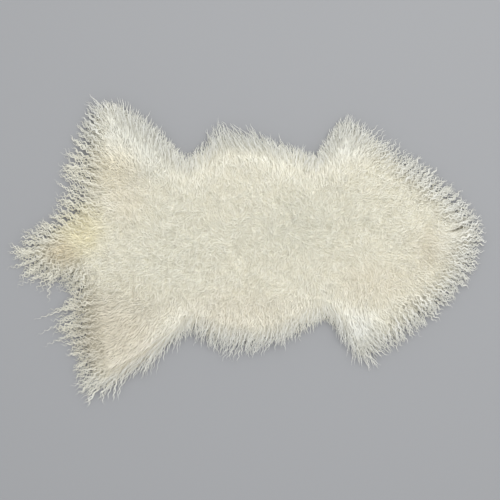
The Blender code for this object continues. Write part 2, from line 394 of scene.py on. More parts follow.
def tubesOf(paths, radii, marks):
    # closed tubes along paths (strands, sections, 3), the last section being the point
    count, sections = paths.shape[:2]
    sides = len(strandLook["around"])
    tangent = np.gradient(paths, axis=1)
    tangent /= np.linalg.norm(tangent, axis=2)[..., None] + 1e-12
    side = np.cross(tangent, (0.0, 0.0, 1.0))
    side[np.linalg.norm(side, axis=2) < 0.05] = (1, 0, 0)  # where a strand goes straight up
    side /= np.linalg.norm(side, axis=2)[..., None]
    up = np.cross(side, tangent)
    # each strand is as flat as its mark says, and its normals lean to the way the fleece faces,
    # as light goes on through the wool instead of stopping at each hair
    flat, soft = marks["flat"][:, None, None], marks["soft"][:, None, None]
    raised = soft * np.array((0, 0, 1))
    rings, normals = [], []
    for corner in range(sides):
        angle = math.pi / 2 + corner * 2 * math.pi / sides
        out = math.cos(angle) * side + math.sin(angle) * up * flat
        rings.append(paths[:, :-1] + out[:, :-1] * radii[:, :-1, None])
        leaning = (math.cos(angle) * side + math.sin(angle) * up) * (1 - soft) + raised
        normals.append(leaning[:, :-1])
    body = np.stack(rings, axis=2).reshape(count, -1, 3)
    points = np.concatenate([body, paths[:, -1:]], axis=1)
    facing = np.stack(normals, axis=2).reshape(count, -1, 3)
    facing = np.concatenate([facing, tangent[:, -1:] * (1 - soft) + raised], axis=1)
    facing /= np.linalg.norm(facing, axis=2)[..., None]
    corners, sizes = tubeFaces(sections, sides)
    perStrand = points.shape[1]
    loops = (corners[None] + (np.arange(count) * perStrand)[:, None]).ravel()
    along = np.append(np.repeat(np.linspace(0, 1, sections)[:-1], sides), 1.0)
    around = np.append(np.tile(strandLook["around"], sections - 1), strandLook["around"][0])
    lengths = np.linalg.norm(np.diff(paths, axis=1), axis=2).sum(axis=1)
    values = {
        "tone": np.repeat(marks["tone"], perStrand),
        "white": np.outer(marks["white"], smooth(*strandLook["tipWhite"], along)).ravel(),
        "deep": np.outer(marks["deep"], 1 - smooth(*strandLook["rootDeep"], along)).ravel(),
        "around": np.tile(around, count),
        "along": np.outer(lengths, along).ravel(),
    }
    return points.reshape(-1, 3), loops, np.tile(sizes, count), values, facing.reshape(-1, 3)


def tubeFaces(sections, sides):
    # the corners of the faces of one tube, facing outwards, and how many each face has
    faces = []
    for ring in range(0, (sections - 2) * sides, sides):
        for corner in range(sides):
            after = (corner + 1) % sides
            faces.append((ring + corner, ring + sides + corner, ring + sides + after, ring + after))
    last = (sections - 2) * sides
    faces += [(last + (side + 1) % sides, last + side, last + sides) for side in range(sides)]
    faces.append(tuple(range(sides)))
    return np.concatenate(faces), [len(face) for face in faces]


def layOut(mesh):
    # a map of the wool as seen from above
    places = np.empty(len(mesh.vertices) * 3, dtype=np.float32)
    mesh.vertices.foreach_get("co", places)
    places = places.reshape(-1, 3)[:, :2]
    border = 0.01
    flat = border + (1 - 2 * border) * (places - places.min(axis=0)) / np.ptp(places, axis=0)
    corners = np.empty(len(mesh.loops), dtype=np.int32)
    mesh.loops.foreach_get("vertex_index", corners)
    layer = mesh.uv_layers.new(name="OFBake", do_init=False)
    layer.uv.foreach_set("vector", flat[corners].astype(np.float32).ravel())


def linked(name, mesh):
    piece = bpy.data.objects.new(name, mesh)
    bpy.context.scene.collection.objects.link(piece)
    return piece


def strandPiece(name, groups):
    # one mesh from groups of strands, each group with its own number of sections
    made = [tubesOf(*group) for group in groups if len(group[0])]
    shift = np.cumsum([0] + [len(part[0]) for part in made[:-1]])
    points = np.concatenate([part[0] for part in made])
    loops = np.concatenate([part[1] + by for part, by in zip(made, shift)])
    sizes = np.concatenate([part[2] for part in made])
    mesh = bpy.data.meshes.new(name)
    mesh.vertices.add(len(points))
    mesh.vertices.foreach_set("co", points.astype(np.float32).ravel())
    mesh.loops.add(len(loops))
    mesh.loops.foreach_set("vertex_index", loops.astype(np.int32))
    mesh.polygons.add(len(sizes))
    starts = np.concatenate([[0], np.cumsum(sizes)[:-1]]).astype(np.int32)
    mesh.polygons.foreach_set("loop_start", starts)
    mesh.update(calc_edges=True)
    mesh.shade_smooth()
    for label in made[0][3]:
        layer = mesh.attributes.new(label, "FLOAT", "POINT")
        values = np.concatenate([part[3][label] for part in made])
        layer.data.foreach_set("value", values.astype(np.float32))
    mesh.normals_split_custom_set_from_vertices(np.concatenate([part[4] for part in made]))
    layOut(mesh)
    triangles = int((sizes - 2).sum())
    print(name, sum(len(group[0]) for group in groups), "strands", triangles, "triangles")
    return linked(name, mesh)


class Value:
    # a socket that takes part in sums
    def __init__(self, shader, socket):
        self.shader, self.socket = shader, socket

    def join(self, operation, first, second):
        return self.shader.node("ShaderNodeMath", {"operation": operation}, {0: first, 1: second})

    def __add__(self, other):
        return self.join("ADD", self, other)

    def __radd__(self, other):
        return self.join("ADD", other, self)

    def __sub__(self, other):
        return self.join("SUBTRACT", self, other)

    def __rsub__(self, other):
        return self.join("SUBTRACT", other, self)

    def __mul__(self, other):
        return self.join("MULTIPLY", self, other)

    def __rmul__(self, other):
        return self.join("MULTIPLY", other, self)

    def __truediv__(self, other):
        return self.join("DIVIDE", self, other)

    def __rtruediv__(self, other):
        return self.join("DIVIDE", other, self)

    def __pow__(self, other):
        return self.join("POWER", self, other)

    def __rpow__(self, other):
        return self.join("POWER", other, self)


class Shader:
    # one material with a Principled shader, whose plain values are given by socket
    def __init__(self, name, plain):
        self.material = bpy.data.materials.new(name)
        self.material.use_nodes = True
        self.tree = self.material.node_tree
        self.main = self.tree.nodes["Principled BSDF"]
        for socket, value in plain.items():
            self.main.inputs[socket].default_value = value

    def node(self, kind, settings=None, inputs=None, output=0):
        made = self.tree.nodes.new(kind)
        for label, value in (settings or {}).items():
            setattr(made, label, value)
        for key, value in (inputs or {}).items():
            if isinstance(value, Value):
                self.tree.links.new(value.socket, made.inputs[key])
            else:
                made.inputs[key].default_value = value
        return Value(self, made.outputs[output])

    def feed(self, socket, value):
        self.tree.links.new(value.socket, self.main.inputs[socket])

    def mix(self, factor, first, second):
        # sockets 0, 6 and 7 are the factor and the colours A and B, output 2 is their mix
        settings = {"data_type": "RGBA", "blend_type": "MIX", "clamp_factor": True}
        return self.node("ShaderNodeMix", settings, {0: factor, 6: first, 7: second}, 2)

    def mark(self, name):
        # what the mesh says at each vertex under that name
        return self.node("ShaderNodeAttribute", {"attribute_name": name}, output="Fac")

    def place(self):
        return self.node("ShaderNodeTexCoord", output="Object")

    def ramp(self, value, low, high):
        # 0 under low and 1 over high
        inputs = {"Value": value, "From Min": low, "From Max": high, "To Min": 0.0, "To Max": 1.0}
        return self.node("ShaderNodeMapRange", {"interpolation_type": "SMOOTHSTEP"}, inputs)

    def speckle(self, where, scale, detail=2.0, rough=0.5, swirl=0.0):
        inputs = {"Vector": where, "Scale": scale, "Detail": detail}
        inputs.update({"Roughness": rough, "Distortion": swirl})
        return self.node("ShaderNodeTexNoise", {}, inputs)

    def bump(self, height, strength, distance):
        inputs = {"Strength": strength, "Distance": distance, "Height": height}
        self.feed("Normal", self.node("ShaderNodeBump", {}, inputs))


woolColours = {
    "light": (0.965, 0.95, 0.845, 1),
    "shade": (0.925, 0.90, 0.775, 1),
    # painted shade at the roots of the strands and between their fibres
    "root": (0.66, 0.62, 0.50, 1),
    "white": (0.90, 0.91, 0.88, 1),
    # painted shade of depth for the undercoat, which lies under the locks
    "under": (0.90, 0.87, 0.745, 1),
    # painted shade in the hollows of the undercoat
    "pitShade": (0.66, 0.62, 0.49, 1),
    # painted shadow at the bottom of the slits
    "slit": (0.34, 0.31, 0.24, 1),
    "clump": (70.0, 3.0, 0.6),  # scale, detail and roughness
    "clumpEdges": (0.36, 0.66),
    "fray": (9.0, 0.9),  # scale and depth of the noise that frays the patches
    "patchFade": (0.15, 1.25),  # where a patch fades out, in half sizes
    "toned": 0.28,  # how far single strands are shaded
}
# soft patches of colour on the fleece, places and half sizes in mm
woolTints = (
    # name, x, y, half length, half width, strength, colour
    ("yellow at the tail", -330, 32, 64, 62, 0.85, (0.95, 0.88, 0.60, 1)),
    ("tan at the tail root", -372, -6, 46, 34, 0.68, (0.74, 0.63, 0.41, 1)),
    ("beige on the rump", -236, 96, 60, 70, 0.45, (0.95, 0.88, 0.73, 1)),
    ("beige on the lower thigh", -258, -166, 96, 120, 0.82, (0.62, 0.56, 0.44, 1)),
    ("beige along the lower flank", 0, -120, 170, 60, 0.30, (0.88, 0.805, 0.67, 1)),
    ("beige on the lower shoulder", 255, -66, 130, 66, 0.38, (0.96, 0.885, 0.73, 1)),
    ("beige crease at the neck", 354, 0, 46, 76, 0.50, (0.84, 0.77, 0.62, 1)),
    ("grey on the back", 100, 56, 150, 90, 0.36, (0.75, 0.76, 0.67, 1)),
    ("grey over the hips", -150, 20, 120, 110, 0.28, (0.84, 0.85, 0.76, 1)),
    ("white upper hind leg", -228, 222, 120, 92, 0.85, (0.63, 0.64, 0.59, 1)),
    ("white upper flank", -20, 232, 150, 40, 0.70, (0.60, 0.61, 0.56, 1)),
    ("white upper foreleg", 190, 226, 92, 56, 0.75, (0.64, 0.65, 0.61, 1)),
    ("white lower foreleg", 220, -172, 66, 62, 0.85, (0.68, 0.69, 0.65, 1)),
    ("white lower flank", 10, -192, 150, 40, 0.60, (0.76, 0.77, 0.74, 1)),
    ("white neck", 420, 30, 60, 90, 0.45, (0.92, 0.92, 0.88, 1)),
    ("beige on the upper thigh", -268, 172, 66, 60, 0.6, (0.89, 0.81, 0.61, 1)),
)


def woolColour(shader, where):
    # cream wool in lighter and darker clumps, with the patches on it
    look = woolColours
    clump = shader.ramp(shader.speckle(where, *look["clump"]), *look["clumpEdges"])
    colour = shader.mix(clump, look["shade"], look["light"])
    scale, far = look["fray"]
    frayed = (shader.speckle(where, scale) - 0.5) * far
    placeX, placeY = (
        shader.node("ShaderNodeSeparateXYZ", {}, {0: where}, output) for output in ("X", "Y")
    )
    for _, x, y, halfX, halfY, strength, tint in woolTints:
        across = (placeX - x * mm) / (halfX * mm)
        upward = (placeY - y * mm) / (halfY * mm)
        away = (across * across + upward * upward) ** 0.5 + frayed
        mask = (1 - shader.ramp(away, *look["patchFade"])) * strength
        colour = shader.mix(mask, colour, tint)
    return colour


lockLook = {
    "surface": {
        "Roughness": 0.78,
        "Sheen Weight": 0.25,
        "Sheen Roughness": 0.5,
        "Sheen Tint": (1.0, 0.97, 0.9, 1),
        "Specular IOR Level": 0.3,
    },
    "fibres": (5, 160),  # their scale round a strand and along it
    "apart": (71, 43),  # how far strands lie apart in the noise
    "fibre": (1.0, 3.0, 0.6),
    "shadows": (0.56, 0.36),
    "shadowed": 0.45,
}


def lockMaterial(look):
    shader = Shader("curlyWool", look["surface"])
    colour = woolColour(shader, shader.place())
    colour = shader.mix(shader.mark("white"), colour, woolColours["white"])
    colour = shader.mix(shader.mark("tone") * woolColours["toned"], colour, woolColours["shade"])
    # painted shade towards the roots of the strands
    colour = shader.mix(shader.mark("deep"), colour, woolColours["root"])
    around, along, own = (shader.mark(name) for name in ("around", "along", "tone"))
    (fibresAround, fibresAlong), (first, second) = look["fibres"], look["apart"]
    inputs = {"X": around * fibresAround + own * first, "Y": along * fibresAlong, "Z": own * second}
    fibre = shader.speckle(shader.node("ShaderNodeCombineXYZ", {}, inputs), *look["fibre"])
    shadow = shader.ramp(fibre, *look["shadows"])
    shader.feed("Base Color", shader.mix(shadow * look["shadowed"], colour, woolColours["root"]))
    return shader.material


def place(piece, material, node):
    piece.data.materials.append(material)
    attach(piece, "root")
    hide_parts(node)
    return piece


skinLook = {
    "corners": 420,
    "thick": 2.0 * mm,
    "knifeWander": (14 * mm, 1.2 * mm),  # its edge is uneven over this length, by this much
    "surface": {"Roughness": 0.88, "Sheen Weight": 0.3},
    "tan": ((0.62, 0.52, 0.37, 1), (0.78, 0.70, 0.55, 1)),
    "mottle": (24.0, 5.0, 0.6),
    "mottleEdges": (0.35, 0.68),
    "nap": (900.0, 3.0, 0.6),
    "napEdges": (0.35, 0.7),
    "napColour": (0.84, 0.77, 0.63, 1),
    "napShare": 0.3,
    "relief": (0.5, 0.3 * mm),
}


def skinMaterial(look):
    shader = Shader("suedeSkin", look["surface"])
    where = shader.place()
    mottle = shader.ramp(shader.speckle(where, *look["mottle"]), *look["mottleEdges"])
    nap = shader.speckle(where, *look["nap"])
    colour = shader.mix(mottle, *look["tan"])
    raised = shader.ramp(nap, *look["napEdges"]) * look["napShare"]
    shader.feed("Base Color", shader.mix(raised, colour, look["napColour"]))
    shader.bump(nap, *look["relief"])
    return shader.material


def makeSkin(look):
    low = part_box("hide")[0]
    places = edgePlace[:: max(1, len(edge) // look["corners"])]
    size, far = look["knifeWander"]
    trimmed = np.abs(noiseAt(places, size, 1.7) * far)
    line = places - outwardOf(places) * (edgeLook["skinInset"] + trimmed)[:, None]
    bm = bmesh.new()
    face = bm.faces.new([bm.verts.new((x, y, low.z)) for x, y in line])
    lifted = bmesh.ops.extrude_face_region(bm, geom=[face])["geom"]
    for v in lifted:
        if isinstance(v, bmesh.types.BMVert):
            v.co.z = low.z + look["thick"]
    bmesh.ops.recalc_face_normals(bm, faces=bm.faces)
    bmesh.ops.triangulate(bm, faces=bm.faces)
    mesh = bpy.data.meshes.new("skin")
    bm.to_mesh(mesh)
    bm.free()
    length, width = line.max(axis=0) - line.min(axis=0)
    return linked("skin", mesh), (float(width), float(length)), float(areaOf(line))


skin, skinSize, skinArea = makeSkin(skinLook)
place(skin, skinMaterial(skinLook), "hide")
print("skin:", [round(s, 3) for s in skinSize], "area", round(skinArea, 4))

undercoatLook = {
    "step": 3.0 * mm,
    "inset": 5 * mm,  # it ends this far inside the dense edge
    "foot": 3.0 * mm,  # height of its lower rim
    "sink": 6 * mm,  # it lies this far under the top of the solid
    "round": 26 * mm,  # its rim rounds down over this width
    "tufts": (18 * mm, 1.8 * mm),  # size and height of the small tufts
    "ridges": ((13 * mm, 1.6 * mm), (8 * mm, 1.0 * mm)),  # and of the matted curls on them
    "under": 2 * mm,  # it lies this far under the roots of the curls
    "overSkin": 0.3 * mm,
    "soft": 1.2,  # how far its normals lean upwards
    "surface": {"Roughness": 0.92, "Specular IOR Level": 0.2},
    "matted": (170.0, 4.0, 0.6, 3.0),  # scale, detail, roughness and swirl
    "fibre": (420.0, 4.0, 0.65, 1.5),
    "hollows": (0.58, 0.4),
    # painted shade of depth: how far the undercoat's colour goes towards the darker under colour
    "underShade": 0.45,
    # painted shade in the hollows of the matted relief
    "darkened": 0.6,
    "slitDark": 0.85,
    "relief": (0.8, 1.5 * mm),
}


def undercoatMaterial(look):
    shader = Shader("undercoat", look["surface"])
    where = shader.place()
    matted = shader.speckle(where, *look["matted"])
    fibre = shader.speckle(where, *look["fibre"])
    # painted shade in the low parts of the matted relief
    hollow = shader.ramp(matted * 0.6 + fibre * 0.4, *look["hollows"])
    # painted shade of depth under the locks
    colour = shader.mix(look["underShade"], woolColour(shader, where), woolColours["under"])
    colour = shader.mix(hollow * look["darkened"], colour, woolColours["pitShade"])
    # painted shadow down in the slits
    colour = shader.mix(shader.mark("slit") * look["slitDark"], colour, woolColours["slit"])
    shader.feed("Base Color", colour)
    shader.bump(matted * 0.7 + fibre * 0.3, *look["relief"])
    return shader.material


def undercoatHeight(points, depth, look=undercoatLook):
    # the ground from which the strands grow
    crown = top.at(points) - look["sink"]
    share = np.clip((depth - look["inset"]) / look["round"], 0, 1)
    height = look["foot"] + (crown - look["foot"]) * np.sqrt(1 - (1 - share) ** 2)
    size, tall = look["tufts"]
    height += share * tall * noiseAt(points, size, 5.0)
    for number, (size, tall) in enumerate(look["ridges"]):
        height += share * tall * (0.5 - 2 * np.abs(noiseAt(points, size, 6.0 + number)))
    for deep, wide, _, away, _ in nearPartings(points):
        height -= deep * (1 - smooth(0, wide, away))
    return np.maximum(height, look["foot"])


def undercoatGrid(look):
    # points and square faces that cover the inside of the edge
    xs = np.arange(cadLow.x, cadHigh.x, look["step"])
    ys = np.arange(cadLow.y, cadHigh.y, look["step"])
    gx, gy = np.meshgrid(xs, ys)
    points = np.column_stack([gx.ravel(), gy.ravel()])
    index, depth = nearEdge(points)
    kept = (depth > look["inset"]).reshape(gx.shape)
    cells = kept[:-1, :-1] & kept[1:, :-1] & kept[:-1, 1:] & kept[1:, 1:]
    grid = np.arange(len(points)).reshape(gx.shape)
    quads = np.stack([grid[:-1, :-1], grid[:-1, 1:], grid[1:, 1:], grid[1:, :-1]], axis=2)[cells]
    used, quads = np.unique(quads, return_inverse=True)
    return points[used], index[used], depth[used], quads.reshape(-1, 4)


def makeUndercoat(look):
    points, index, depth, quads = undercoatGrid(look)
    bm = bmesh.new()
    verts = [bm.verts.new((x, y, 0)) for x, y in points]
    for quad in quads:
        bm.faces.new([verts[k] for k in quad])
    bm.verts.index_update()
    rim = sorted({v.index for e in bm.edges if e.is_boundary for v in e.verts})
    points[rim] = edgePlace[index[rim]] - edgeOut[index[rim]] * look["inset"]
    depth[rim] = look["inset"]
    heights = np.maximum(undercoatHeight(points, depth) - look["under"], look["foot"])
    for v, (x, y), z in zip(verts, points, heights):
        v.co = (x, y, z)
    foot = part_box("hide")[1].z + look["overSkin"]
    skirt = bmesh.ops.extrude_edge_only(bm, edges=[e for e in bm.edges if e.is_boundary])["geom"]
    for v in skirt:
        if isinstance(v, bmesh.types.BMVert):
            v.co.z = foot
    bmesh.ops.contextual_create(bm, geom=[e for e in bm.edges if e.is_boundary])
    bmesh.ops.recalc_face_normals(bm, faces=bm.faces)
    mesh = bpy.data.meshes.new("undercoat")
    bm.to_mesh(mesh)
    bm.free()
    mesh.shade_smooth()
    facing = np.array([v.normal[:] for v in mesh.vertices])
    facing[facing[:, 2] > 0.2] += (0, 0, look["soft"])  # all but the underside and the skirt
    facing /= np.linalg.norm(facing, axis=1)[:, None]
    mesh.normals_split_custom_set_from_vertices(facing)
    layOut(mesh)
    markSlits(mesh)
    return linked("undercoat", mesh)


def markSlits(mesh):
    # how much painted shadow lies on the ground of a slit at each vertex
    places = np.array([v.co[:2] for v in mesh.vertices])
    near, far = partingLook["dark"]
    dark = np.zeros(len(places))
    for _, wide, slit, away, _ in nearPartings(places):
        shade = 1 - smooth(near * wide, far * wide, away)
        dark = np.maximum(dark, shade * np.clip(slit / mm, 0, 1))
    mesh.attributes.new("slit", "FLOAT", "POINT").data.foreach_set("value", dark.astype(np.float32))


undercoat = makeUndercoat(undercoatLook)
place(undercoat, undercoatMaterial(undercoatLook), "fleece")
print("undercoat:", len(undercoat.data.polygons), "faces")


def wander(plan, sections):
    # a wavy path on the floor plan for each strand: it turns from side to side as it goes
    startX, startY, heading, bend, swing, waves, phase, length = plan.T[..., None]
    t = np.linspace(0, 1, sections)[None]
    wave = 2 * math.pi * waves * t + phase
    turn = heading + bend * (t - strandLook["bendFrom"]) + swing * np.sin(wave)
    middle = (turn[:, 1:] + turn[:, :-1]) / 2
    step = length / (sections - 1)
    x, y = (np.cumsum(part(middle) * step, axis=1) for part in (np.cos, np.sin))
    x = np.concatenate([startX, startX + x], axis=1)
    y = np.concatenate([startY, startY + y], axis=1)
    return t, x, y, np.cos(wave)


def stretched(length, swing):
    # a strand that swings has to be longer to reach as far
    return length / (1 - swing**2 / strandLook["swingShortens"])


def groundUnder(x, y):
    flat = np.column_stack([x.ravel(), y.ravel()])
    return undercoatHeight(flat, nearEdge(flat)[1]).reshape(x.shape)


def pick(marks, chosen):
    return {label: mark[chosen] for label, mark in marks.items()}


def shareOut(groups, regions, material):
    # the strands whose roots lie between two values of x make one piece
    for label, low, high in regions:
        chosen = []
        for roots, paths, radii, marks in groups:
            own = (roots[:, 0] >= low) & (roots[:, 0] < high)
            chosen.append((paths[own], radii[own], pick(marks, own)))
        place(strandPiece(label, chosen), material, "fleece")


# pairs marked * are for straight and for curly wool
curlLook = {
    "count": 16000,
    "jitter": 0.42,  # in spacings
    "sections": (6, 7),  # *
    "straight": 0.42,  # wool with less curl than this is straight
    "length": (14 * mm, 22 * mm),
    "combedLength": (26 * mm, 38 * mm),  # of straight wool
    "rise": (3.8 * mm, 7.0 * mm),
    "riseShare": (0.32, 1.0),  # *
    "riseSteep": 2.2,
    "tipSinks": 0.5,  # share of its rise
    "ripple": 1.2 * mm,
    "sink": 2.6 * mm,  # of its root
    "sinkShare": (0.3, 1.0),  # *
    "lowest": 2 * mm,
    "swing": (0.7, 1.15),  # to each side, in radians
    "swingShare": (0.1, 1.0),  # *
    "wavelength": (9 * mm, 13 * mm),
    "phase": (20 * mm, 0.9),  # neighbours this near wave alike, but for so many radians
    "stray": 0.45,  # radians
    "strayShare": (0.25, 1.0),  # *
    "bend": 0.8,
    "thick": (0.75 * mm, 1.25 * mm),  # half the width of a lock
    "combedThick": (1.0 * mm, 1.7 * mm),
    "taper": ((0, 0.3, 0.75, 1), (0, 1.0, 0.66, 0.0)),  # width along it
    "rootLength": 0.3,  # share of it that is its root
    "rootThick": (0.3, 0.75),  # *
    "flat": (0.5, 1.0),  # * how high a lock is for its width
    "soft": (0.5, 0.08),  # * how far its normals lean to the way the fleece faces
    "softRim": (0.6, 0.24),  # * and at the rim
    "rimWidth": 40 * mm,
    "tone": 1.5,  # the higher, the fewer strands are shaded
    "deep": 0.3,  # painted shade of the roots
    "white": 0.5,  # at the rim, where the wool is fine
    "whiteFine": (0.1, 0.5),
}


def scatter(look, random):
    # jittered staggered points inside the dense edge
    pitch = math.sqrt(areaOf(edgePlace) / look["count"] * 2 / math.sqrt(3))
    xs = np.arange(cadLow.x, cadHigh.x, pitch)
    ys = np.arange(cadLow.y, cadHigh.y, pitch * math.sqrt(3) / 2)
    gx, gy = np.meshgrid(xs, ys)
    gx = gx + (np.arange(len(ys)) % 2)[:, None] * pitch / 2
    points = np.column_stack([gx.ravel(), gy.ravel()])
    points += random.uniform(-look["jitter"], look["jitter"], points.shape) * pitch
    depth = nearEdge(points)[1]
    keep = depth > 0
    return points[keep], depth[keep]


def growCurls(look, seed):
    random = np.random.default_rng(seed)
    points, depth = scatter(look, random)
    count = len(points)
    heading, curl, fine = flowAt(points, depth)
    heading += random.normal(0, look["stray"], count) * mixed(look["strayShare"], curl)
    length = random.uniform(*look["length"], count) * curl
    length += random.uniform(*look["combedLength"], count) * (1 - curl)
    rise = random.uniform(*look["rise"], count) * mixed(look["riseShare"], curl)
    swing = random.uniform(*look["swing"], count) * mixed(look["swingShare"], curl)
    waves = length / random.uniform(*look["wavelength"], count)
    thick = random.uniform(*look["thick"], count) * curl
    thick += random.uniform(*look["combedThick"], count) * (1 - curl)
    alike, spread = look["phase"]
    phase = math.pi * noiseAt(points, alike, 2.2) + random.uniform(-spread, spread, count)
    bend = random.normal(0, look["bend"], count) * curl
    nearRim = smooth(0, 1, 1 - depth / look["rimWidth"])
    white = look["white"] * nearRim * smooth(*look["whiteFine"], fine)
    marks = {
        "tone": random.uniform(0, 1, count) ** look["tone"],
        "deep": look["deep"] * curl,
        "white": white * (1 - straightAt(points)),
        "flat": mixed(look["flat"], curl),
        "soft": np.maximum(mixed(look["soft"], curl), nearRim * mixed(look["softRim"], curl)),
    }
    plan = np.column_stack([points, heading, bend, swing, waves, phase, length])
    straight = curl < look["straight"]
    groups = []
    for sections, own in zip(look["sections"], (straight, ~straight)):
        t, x, y, beat = wander(plan[own], sections)
        middle = sections // 2
        x += points[own, :1] - x[:, middle : middle + 1]
        y += points[own, 1:] - y[:, middle : middle + 1]
        curly = curl[own, None]
        lift = rise[own, None] * (1 - (1 - t) ** look["riseSteep"]) * (1 - look["tipSinks"] * t**2)
        sunk = look["sink"] * mixed(look["sinkShare"], curly) * (1 - t)
        z = groundUnder(x, y) - sunk + lift + look["ripple"] * curly * t * beat
        root = mixed(look["rootThick"], curly) * np.clip(1 - t / look["rootLength"], 0, 1)
        radii = thick[own, None] * (np.interp(t, *look["taper"]) + root)
        paths = np.stack([x, y, np.maximum(z, look["lowest"])], axis=2)
        clear = clearOfSlits(x, y)
        own[np.flatnonzero(own)[~clear]] = False
        groups.append((points[own], paths[clear], radii[clear], pick(marks, own)))
    return groups


curlMaterial = lockMaterial(lockLook)
curlRegions = (
    # name, from x, to x in metres
    ("rumpCurls", -1, -0.19),
    ("hipCurls", -0.19, 0.01),
    ("ribCurls", 0.01, 0.195),
    ("shoulderCurls", 0.195, 1),
)
shareOut(growCurls(curlLook, 11), curlRegions, curlMaterial)

# Where the wool is coarse (fine near 0) it falls into separate crimped locks of a few strands,
# and where it is fine it is a soft fringe of single hairs. Pairs marked * are for coarse and for
# fine wool.
rimLook = {
    "layers": 3,
    "band": 34 * mm,  # the inmost roots lie this far inside the edge
    "layerSpread": (-0.2, 0.25),  # in bands
    "rootSpread": 2 * mm,
    "within": 2 * mm,  # the outermost roots lie this far inside the edge
    "above": 1.0 * mm,  # all lie this far over the undercoat
    "lifted": 3.5 * mm,  # and the inmost this much higher
    "liftedShare": (1.0, 0.4),  # *
    "tuft": 13 * mm,  # size of the tufts in which they lie
    "tuftRise": 2.0 * mm,
    "tuftLayer": (0.4, 1.0),  # in the outermost and in the inmost layer
    "tuftRest": 5.0 * mm,  # fine tufts stay so far off the floor
    "lockSpacing": (8.0 * mm, 2.2 * mm),  # *
    "strandsInLock": (2, 1),  # *
    "lockWidth": (1.0 * mm, 0.3 * mm),  # *
    "drawn": 60 * mm,  # its strands draw together over this length
    "swing": (1.5, 0.45),  # * to each side, in radians
    "swingCurl": (0.3, 1.0),  # share of it without and with curl
    "swingSpread": (0.8, 1.15),
    "wavelength": (17 * mm, 15 * mm),  # * along the strand
    "waveSpread": (0.92, 1.08),
    "phaseSpread": 0.3,
    "thick": (0.95 * mm, 0.55 * mm),  # *
    "thickSpread": (0.75, 1.25),
    "taper": ((0, 0.35, 0.8, 1), (0.8, 1.0, 0.7, 0.0)),
    "flat": 0.8,
    "soft": 0.1,
    "tone": 2,  # the higher, the fewer strands are shaded
    "deep": (0.5, 0.1),  # * painted shade of the roots
    "white": (0.15, 0.8),  # *
    "whiteFine": (0.1, 0.45),
    "share": (0.72, 1.12),  # of the edge's reach
    "shareSpread": (-0.1, 0.05),  # within a lock
    "shortest": 10 * mm,
    "covers": 0.8,  # share of its length by which a strand gets away from its root
    "clump": (15 * mm, 42 * mm),  # * size of the clumps that lie the same way
    "clumpSwing": (0.36, 0.3),  # *
    "stray": 0.12,
    "bend": (0.35, 0.14),  # * of each lock by itself
    "sweep": 0.7,  # of fine clumps together
    "uneven": 0.3,  # share by which fine tufts differ in length
    "rest": (0.8 * mm, 8.0 * mm),
    "restSpread": 2 * mm,
    "arch": 2.0 * mm,
    "crimp": (0.6, 0.6),  # height for their width, full from this share of the length on
    "droopFrom": 6 * mm,  # inside the edge
    "droop": (16 * mm, 44 * mm),  # and over this length
    "strays": 0.012,  # share of locks that are one long stray hair
    "strayShare": (1.05, 1.2),
    "strayThick": 0.7,
    "sections": (12, 17, 23, 31),  # a strand takes the number that fits its waves
    "sectionsPerWave": 7.2,
}


def rimStarts(look, random):
    # places along the edge for the locks of one layer, closer together where the wool is fine
    density = edgeStep / mixed(look["lockSpacing"], edgeFine)
    walked = np.concatenate([[0], np.cumsum(density)])
    marks = np.arange(0, walked[-1] - 0.5)
    marks += random.uniform(0.1, 0.9, len(marks))
    return np.interp(marks, walked, np.arange(len(walked))).astype(int) % len(edge)


def rimMarks(look, random, fine):
    # what the strands at the rim say to their material and their normals
    return {
        "tone": random.uniform(0, 1, len(fine)) ** look["tone"],
        "deep": mixed(look["deep"], fine),
        "white": mixed(look["white"], smooth(*look["whiteFine"], fine)),
        "flat": np.full(len(fine), look["flat"]),
        "soft": np.full(len(fine), look["soft"]),
    }


